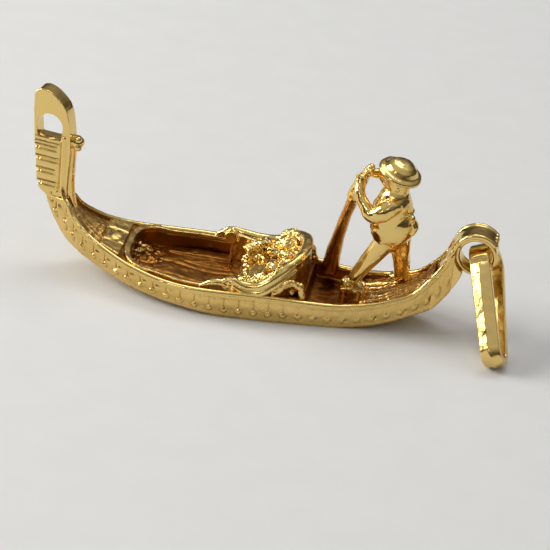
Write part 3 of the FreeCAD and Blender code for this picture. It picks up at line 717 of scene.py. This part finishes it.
def valance_shape():
    s = Shape().node("settee_valance")
    for i in range(26):
        y = -2.62 + i * 0.21
        s.tube([(-1.22, y, 1.28), (-1.33, y + 0.02, 0.95), (-1.27, y, 0.76)], [0.07, 0.10, 0.085], seg=10)
    return s


cast("valance", valance_shape(), 0.04, 1, nodes=("settee_valance",), lump=(0.03, 0.3))


def scroll(side, x, z, out, node, name, rise, tail):
    """Arm as one flowing ribbon: a flat forward tongue, an eye-shaped roll, then the rise to the back."""
    s = Shape().node(node)
    spiral = []
    for i in range(34):
        t = i / 33
        a = math.radians(70 + 400 * t)
        r = 0.60 - 0.38 * t
        spiral.append((x + math.cos(a) * r * 1.35, out + side * 0.05 * t, z + math.sin(a) * r * 0.78))
    s.tube(spiral, [0.15] * len(spiral), seg=12)
    tongue = smooth_curve([(x - tail, side * 3.72, z - 0.34), (x - 0.62 * tail, side * 3.66, z + 0.02),
                           (x - 0.3 * tail, side * 3.58, z + 0.02), (x + 0.1, side * 3.55, z - 0.38)], 6)
    s.tube(tongue, [0.10 + 0.16 * math.sin(math.pi * i / (len(tongue) - 1)) for i in range(len(tongue))], seg=12)
    ribbon = smooth_curve([(x + 0.10, out, z + 0.42)] + [(px, side * py, pz) for px, py, pz in rise], 6)
    n = len(ribbon) - 1
    s.tube(ribbon, [0.22 + 0.12 * math.sin(math.pi * i / n) for i in range(n + 1)], seg=14)
    low = [q + Vector((0.1, side * 0.05, -0.42)) for q in ribbon]
    s.tube(low, [0.20 + 0.12 * math.sin(math.pi * i / n) for i in range(n + 1)], seg=14)
    return cast(name, s, 0.045, 6, nodes=(node,), lump=(0.02, 0.9), material=POLISHED)


scroll(-1, -1.25, 2.32, -3.62, "settee_arm_port", "arm_port",
       ((-0.4, 3.58, 2.44), (0.55, 3.52, 2.52), (1.25, 3.34, 2.98), (1.95, 2.96, 3.52), (2.60, 2.36, 3.98)), 2.1)
scroll(1, -2.45, 2.36, 3.66, "settee_arm_starboard", "arm_starboard",
       ((-1.6, 3.62, 2.60), (-0.3, 3.60, 2.48), (0.7, 3.50, 2.66), (1.50, 3.20, 3.22)), 1.2)
cast("rosette", Shape().node("settee_rosette"), 0.035, 2, nodes=("settee_rosette",), lump=(0.02, 0.3), material=POLISHED)


def bracket(side, node, name):
    """Pierced scroll bracket: an arched lip round a dark opening, with a curled foot."""
    s = Shape().node(node)
    lip = smooth_curve([(1.55, 3.34, 2.05), (1.95, 3.30, 2.62), (2.60, 3.12, 3.02), (3.20, 2.92, 2.78), (3.50, 2.92, 2.15)], 5)
    s.tube([(q.x, side * q.y, q.z) for q in lip], [0.20 + 0.06 * math.sin(i * 0.9) for i in range(len(lip))], seg=12)
    for c, r in (((2.75, 3.05, 2.30), 0.22), ((3.45, 2.86, 2.05), 0.27)):
        s.ball((c[0], side * c[1], c[2]), r)
    return cast(name, s, 0.04, 3, nodes=(node,), lump=(0.05, 0.35))


bracket(-1, "scroll_bracket_port", "bracket_port")
bracket(1, "scroll_bracket_starboard", "bracket_starboard")

# ------------------------------------------------------------------ stern deck, foot block
def stern_relief(p, nv):
    """Curved planks that run aft and draw together, with an uneven cast surface."""
    half = 2.3 - 0.28 * (p[:, 0] - 7.0)
    u = p[:, 1] / np.maximum(half, 0.5) + 0.10 * np.sin((p[:, 0] - 7.0) * 0.9)
    h = 0.0
    for line in (-0.80, -0.52, -0.24, 0.06, 0.38, 0.70):
        h = h + groove((u - line) * half, 0.09, 0.15)
    rough = 0.07 + 0.14 * np.clip((7.2 - p[:, 0]) / 0.6, 0, 1)
    return np.where(nv[:, 2] > 0.2, h + rough * lumps(p, 0.5, 3, 17.0), 0)


# The stern deck takes the darker gold: painted shade.
cast("sterndeck", Shape().node("stern_deck"), 0.05, 2, relief=stern_relief, nodes=("stern_deck",), material=SHADE_GOLD)


def block_relief(p, nv):
    side = np.abs(nv[:, 2]) < 0.6
    stripe = 0.05 * np.sin(p[:, 1] * 15) + 0.04 * np.sin(p[:, 0] * 13)
    return np.where(side, stripe, 0) + 0.07 * lumps(p, 0.4, 3, 19.0)


cast("footblock", Shape().node("foot_block"), 0.05, 3, relief=block_relief, nodes=("foot_block",))

# ------------------------------------------------------------------ tail, ring and bail
RING = Vector((14.45, 0, 6.05))


def tail_shape():
    """The strip with raised rims that run up its edges and over the ring, and a knuckled end."""
    s = Shape().node("tail_scroll")
    a = math.radians(42)
    for i in range(4):
        y = -0.72 + 0.48 * i
        s.ball((RING.x + 1.52 * math.cos(a), y, RING.z + 1.52 * math.sin(a)), 0.24 - 0.03 * (i % 2))
    for side in (-1, 1):
        rim = [(11.85, side * 1.26, 4.22), (12.30, side * 1.14, 4.86), (12.66, side * 1.04, 5.60), (12.90, side * 0.96, 6.30)]
        for i in range(9):
            b = math.radians(170 - 16 * i)
            rim.append((RING.x + 1.56 * math.cos(b), side * 0.86, RING.z + 1.56 * math.sin(b)))
        rim = smooth_curve(rim, 4)
        s.tube(rim, [0.16] * len(rim), seg=12)
    return s


cast("tail", tail_shape(), 0.055, 4, nodes=("tail_scroll",), lump=(0.022, 0.9), material=POLISHED)


def ring_shape():
    """The ring with a rounded bead round each face."""
    s = Shape().node("stern_ring")
    for side in (-1, 1):
        loop = [(RING.x + 1.26 * math.cos(TAU * i / 48), side * 0.62, RING.z + 1.26 * math.sin(TAU * i / 48)) for i in range(49)]
        s.tube(loop, [0.17] * 49, seg=14)
    return s


cast("ring", ring_shape(), 0.045, 5, nodes=("stern_ring",), lump=(0.012, 0.8), material=POLISHED)

# The strap's own frame: turned about itself, leaned to port, swung aft
STRAP_TURN = (Matrix.Rotation(math.radians(-20.2), 3, "Y") @ Matrix.Rotation(math.radians(-47.9), 3, "X")
              @ Matrix.Rotation(math.radians(-7.5), 3, "Z"))
STRAP_AXIS = np.array(STRAP_TURN @ Vector((1, 0, 0)))
STRAP_UP = np.array(STRAP_TURN @ Vector((0, 0, 1)))
SEAT_POINT = np.array((RING.x + 1.23 * math.sin(math.radians(38.7)), 0.42, RING.z - 1.23 * math.cos(math.radians(38.7))))
BAIL_HALF_W = 0.685


def bail_relief(p, nv):
    """The strap's outer face rises to a ridge along its middle."""
    q = p - SEAT_POINT
    s = q @ STRAP_AXIS
    along = q @ STRAP_UP
    rad = q - np.outer(s, STRAP_AXIS) - np.outer(np.maximum(-5.9, np.minimum(along, 0.0)), STRAP_UP)
    rad /= np.maximum(np.linalg.norm(rad, axis=1, keepdims=True), 1e-6)
    outward = np.clip((nv * rad).sum(1) * 1.6, 0, 1)
    away = np.clip((-0.5 - along) / 0.8, 0, 1)
    return outward * away * 0.24 * (1 - np.abs(s) / BAIL_HALF_W) + 0.012 * lumps(p, 0.8, 2, 21.0)


cast("bail_strap", Shape().node("bail"), 0.05, 4, relief=bail_relief, body="bail_loop", nodes=("bail",),
     material=POLISHED)

# ------------------------------------------------------------------ oar and gondolier
# The oar takes the darker gold: painted shade.
cast("oar_loom", Shape().node("oar"), 0.05, 6, nodes=("oar",), lump=(0.03, 0.9), material=SHADE_GOLD)


cast("oar_grip", Shape().tube(smooth_curve([(6.62, 0.82, 10.50), (6.10, 1.20, 9.30), (5.74, 1.60, 7.85)], 5),
                              [0.28, 0.30, 0.32, 0.35, 0.38, 0.41, 0.44, 0.47, 0.50, 0.53, 0.55], seg=18), 0.045, 4,
     lump=(0.03, 0.8), material=POLISHED)


def trousers(p, nv):
    """Long soft creases that run down the leg."""
    return 0.03 * np.sin(p[:, 1] * 7.0 + 2.0 * lumps(p, 2.0, 1, 23.0)) + 0.02 * lumps(p, 0.7, 2, 24.0)


cast("leg_front", Shape().node("gondolier_front_leg").ball((6.15, -0.35, 2.40), 0.42, (1.1, 0.9, 0.7)), 0.05, 6,
     relief=trousers, nodes=("gondolier_front_leg",), material=POLISHED)
cast("leg_rear", Shape().node("gondolier_rear_leg"), 0.05, 6, relief=trousers, nodes=("gondolier_rear_leg",),
     material=POLISHED)


def tunic_folds(p, nv):
    a = np.arctan2(p[:, 1], p[:, 0] - 8.65)
    low = np.clip((7.9 - p[:, 2]) / 1.5, 0, 1)
    return low * 0.03 * np.sin(a * 5 + 1.2 * lumps(p, 1.2, 1, 25.0)) + 0.03 * lumps(p, 0.5, 2, 26.0)


def tunic_shape():
    """The tunic with the body filled out from the hips to the arms."""
    return Shape().node("gondolier_tunic").tube([(8.48, 0, 5.95), (8.32, 0, 6.7), (8.33, 0, 7.6), (8.40, 0, 8.3), (8.50, 0, 8.9)],
                                                [1.02, 1.20, 1.30, 1.30, 1.12], seg=32)


cast("tunic", tunic_shape(), 0.05, 6, relief=tunic_folds, nodes=("gondolier_tunic",), material=POLISHED)


def sash_shape():
    """The sash round the waist and its knot with two short tails behind."""
    s = Shape().node("gondolier_sash")
    s.ball((9.85, -0.45, 7.85), 0.34, (0.8, 1.0, 0.9))
    s.tube([(9.95, -0.45, 7.75), (10.12, -0.50, 7.30), (10.02, -0.60, 6.90)], [0.22, 0.28, 0.20])
    s.tube([(9.95, -0.35, 7.75), (10.14, -0.15, 7.40), (10.05, -0.05, 7.05)], [0.20, 0.24, 0.17])
    return s


def sash_relief(p, nv):
    """Drawn in where it wraps the waist, so it sits almost flush."""
    wrap = np.clip((9.6 - p[:, 0]) / 0.4, 0, 1)
    return -0.07 * wrap + 0.03 * lumps(p, 0.5, 2, 27.0)


cast("sash", sash_shape(), 0.045, 5, relief=sash_relief, nodes=("gondolier_sash",), material=POLISHED)


def chest_shape():
    """Shoulders that slope into a thick neck, with the turned edge of the jacket in front."""
    s = Shape().node("gondolier_chest")
    s.tube([(8.55, 0.0, 8.7), (8.60, 0.0, 9.25), (8.60, 0, 9.75)], [1.12, 0.86, 0.76], seg=28)
    for side in (-1, 1):
        s.ball((8.60, side * 0.90, 8.85), 0.55, (1.0, 0.8, 0.9))
    s.ball((7.95, -0.55, 9.05), 0.30, (1.2, 0.9, 0.8))
    return s


cast("chest", chest_shape(), 0.05, 5, nodes=("gondolier_chest",), lump=(0.04, 0.7), material=POLISHED)


def head_shape():
    """A round head on a thick neck; the face is plain and general."""
    s = Shape().node("gondolier_head")
    c = Vector((8.60, -0.02, 10.05))
    s.tube([(8.60, 0, 9.25), (8.60, 0, 9.8), (8.58, 0, 10.45)], [0.76, 0.82, 0.92], seg=28)
    fwd = Vector((-1, 0, 0))
    s.ball(c + fwd * 0.84 + Vector((0, 0, -0.06)), 0.13, (0.9, 0.8, 1.3))
    s.ball(c + fwd * 0.76 + Vector((0, 0, -0.38)), 0.14, (0.6, 1.4, 0.5))
    for side in (-1, 1):
        s.ball(c + fwd * 0.78 + Vector((0, side * 0.28, 0.10)), 0.11, (0.5, 1.2, 0.7))
        s.ball(c + Vector((0.05, side * 0.82, -0.02)), 0.15, (0.9, 0.5, 1.3))
    return s


cast("head", head_shape(), 0.035, 4, nodes=("gondolier_head",), material=POLISHED, lump=(0.01, 0.4))


def arm_shape(path, radii, hand, side):
    """One sleeve from the shoulder round the elbow to the cuff, and a fist with four knuckles."""
    s = Shape()
    h = Vector(hand)
    pts = smooth_curve(path, 5)
    s.tube(pts, np.interp(np.linspace(0, len(radii) - 1, len(pts)), range(len(radii)), radii), seg=20)
    s.ball(h, 0.34, (1.0, 1.0, 0.9))
    for i in range(4):
        s.ball(h + Vector((-0.22, 0.10 * side, (i - 1.5) * 0.17)), 0.13, (1.2, 1.0, 0.8))
    return s


ARM_NEAR = ((8.50, -0.95, 8.75), (7.85, -1.18, 8.28), (7.22, -1.12, 8.00), (6.76, -0.90, 8.34), (6.20, -0.45, 9.05),
            (6.10, 0.05, 9.85))
ARM_FAR = ((8.40, 1.00, 9.05), (7.85, 1.30, 9.50), (7.35, 1.28, 9.93), (6.90, 0.95, 10.08), (6.60, 0.70, 10.16))
cast("arm_near", arm_shape(ARM_NEAR, (0.66, 0.64, 0.54, 0.44, 0.38, 0.34), (6.12, 0.10, 9.98), -1), 0.042, 5,
     nodes=("gondolier_port_arm",), lump=(0.035, 0.6), material=POLISHED)
cast("arm_far", arm_shape(ARM_FAR, (0.52, 0.46, 0.38, 0.30, 0.26), (6.52, 0.64, 10.22), 1), 0.042, 5,
     nodes=("gondolier_starboard_arm",), lump=(0.035, 0.6), material=POLISHED)


HAT_PROFILE = ((0.0, 1.02), (0.35, 1.00), (0.70, 0.90), (0.98, 0.70), (1.12, 0.48), (1.20, 0.37), (1.34, 0.34), (1.48, 0.27),
               (1.54, 0.15), (1.48, 0.02), (1.30, -0.05), (0.0, -0.05))
HAT_TURN = Matrix.Rotation(math.radians(8), 3, "X") @ Matrix.Rotation(math.radians(17), 3, "Y")
HAT_AT = Vector((8.58, -0.02, 10.78))


def hat_shape():
    """The boater: a low round crown that runs softly into a thick rolled brim."""
    s = Shape()
    seg = 40
    verts = [HAT_TURN @ Vector((r * math.cos(TAU * k / seg), r * math.sin(TAU * k / seg), z)) + HAT_AT
             for r, z in HAT_PROFILE for k in range(seg)]
    faces = []
    for i in range(len(HAT_PROFILE) - 1):
        for k in range(seg):
            j = (k + 1) % seg
            faces.append((i * seg + k, (i + 1) * seg + k, (i + 1) * seg + j, i * seg + j))
    return s.add(verts, faces)


def hat_relief(p, nv):
    return 0.03 * lumps(p, 0.8, 2, 31.0)


cast("hat", hat_shape(), 0.045, 4, relief=hat_relief, nodes=("gondolier_hat",), material=POLISHED)

# ------------------------------------------------------------------ floor, light and camera
def pale_floor():
    m, n, l = new_material("paper")
    out = n.new("ShaderNodeOutputMaterial")
    b = n.new("ShaderNodeBsdfPrincipled")
    l.new(b.outputs[0], out.inputs[0])
    tc = n.new("ShaderNodeTexCoord")
    fibre = n.new("ShaderNodeTexNoise")
    fibre.inputs["Scale"].default_value = 350.0
    fibre.inputs["Detail"].default_value = 6.0
    l.new(tc.outputs["Object"], fibre.inputs["Vector"])
    mix = n.new("ShaderNodeMix")
    mix.data_type = "RGBA"
    mix.inputs[6].default_value = (0.66, 0.665, 0.665, 1)
    mix.inputs[7].default_value = (0.71, 0.712, 0.71, 1)
    l.new(fibre.outputs[0], mix.inputs[0])
    l.new(mix.outputs[2], b.inputs["Base Color"])
    b.inputs["Roughness"].default_value = 0.75
    bmp = n.new("ShaderNodeBump")
    bmp.inputs["Strength"].default_value = 0.10
    bmp.inputs["Distance"].default_value = 0.0002
    l.new(fibre.outputs[0], bmp.inputs["Height"])
    l.new(bmp.outputs[0], b.inputs["Normal"])
    bpy.ops.mesh.primitive_plane_add(size=1.6, location=(0, 0, 0))
    ob = bpy.context.object
    ob.name = "floor"
    ob.data.materials.append(m)
    return ob


floor = pale_floor()


def area(name, where, target, size, size_y, watts, colour):
    d = bpy.data.lights.new(name, "AREA")
    d.shape = "RECTANGLE"
    d.size = size
    d.size_y = size_y
    d.energy = watts
    d.color = colour
    o = bpy.data.objects.new(name, d)
    o.location = where
    o.rotation_euler = (Vector(target) - Vector(where)).to_track_quat("-Z", "Y").to_euler()
    bpy.context.scene.collection.objects.link(o)
    return o


area("window", (-0.30, -0.02, 0.20), (0, 0, 0.004), 0.20, 0.18, 0.95, (1.0, 0.985, 0.94))
area("low_window", (-0.34, 0.02, 0.070), (0, 0, 0.004), 0.16, 0.09, 0.36, (1.0, 0.985, 0.94))
area("overhead", (0.02, 0.20, 0.42), (0, 0, 0), 0.30, 0.20, 0.50, (0.98, 0.985, 1.0))
area("front_card", (-0.16, -0.40, 0.26), (0, 0, 0.005), 0.10, 0.08, 0.14, (1.0, 0.98, 0.94))

world = bpy.data.worlds.new("room")
world.use_nodes = True
bpy.context.scene.world = world
wn, wl = world.node_tree.nodes, world.node_tree.links
back = wn["Background"]
wtc = wn.new("ShaderNodeTexCoord")
sep = wn.new("ShaderNodeSeparateXYZ")
ramp = wn.new("ShaderNodeValToRGB")
half = wn.new("ShaderNodeMath")
half.operation = "MULTIPLY_ADD"
half.inputs[1].default_value = 0.5
half.inputs[2].default_value = 0.5
wl.new(wtc.outputs["Generated"], sep.inputs[0])
wl.new(sep.outputs["Z"], half.inputs[0])
wl.new(half.outputs[0], ramp.inputs[0])
cr = ramp.color_ramp
cr.elements[0].position = 0.48
cr.elements[0].color = (0.12, 0.10, 0.08, 1)
cr.elements[1].position = 0.97
cr.elements[1].color = (0.80, 0.80, 0.80, 1)
for pos, col in ((0.56, (0.07, 0.055, 0.04, 1)), (0.68, (0.20, 0.18, 0.15, 1)), (0.84, (0.50, 0.49, 0.47, 1))):
    el = cr.elements.new(pos)
    el.color = col
wl.new(ramp.outputs[0], back.inputs[0])
back.inputs[1].default_value = 0.75

CAM_RIGHT = Vector((0.9811, 0.1606, 0.1076))
CAM_UP = Vector((-0.1699, 0.4507, 0.8763))
CAM_BACK = Vector((0.0923, -0.8781, 0.4695))
cam_data = bpy.data.cameras.new("camera")
cam_data.sensor_width = 36.0
cam_data.lens = 163.58
cam_data.clip_start = 0.005
cam_data.clip_end = 10.0
cam = bpy.data.objects.new("camera", cam_data)
look = Vector((1.183, 0, 1.728)) * MM
turn = Matrix((CAM_RIGHT, CAM_UP, CAM_BACK)).transposed().to_4x4()
turn.translation = look + CAM_BACK * 0.170
cam.matrix_world = turn
bpy.context.scene.collection.objects.link(cam)
bpy.context.scene.camera = cam
bpy.context.scene.view_settings.view_transform = "Standard"
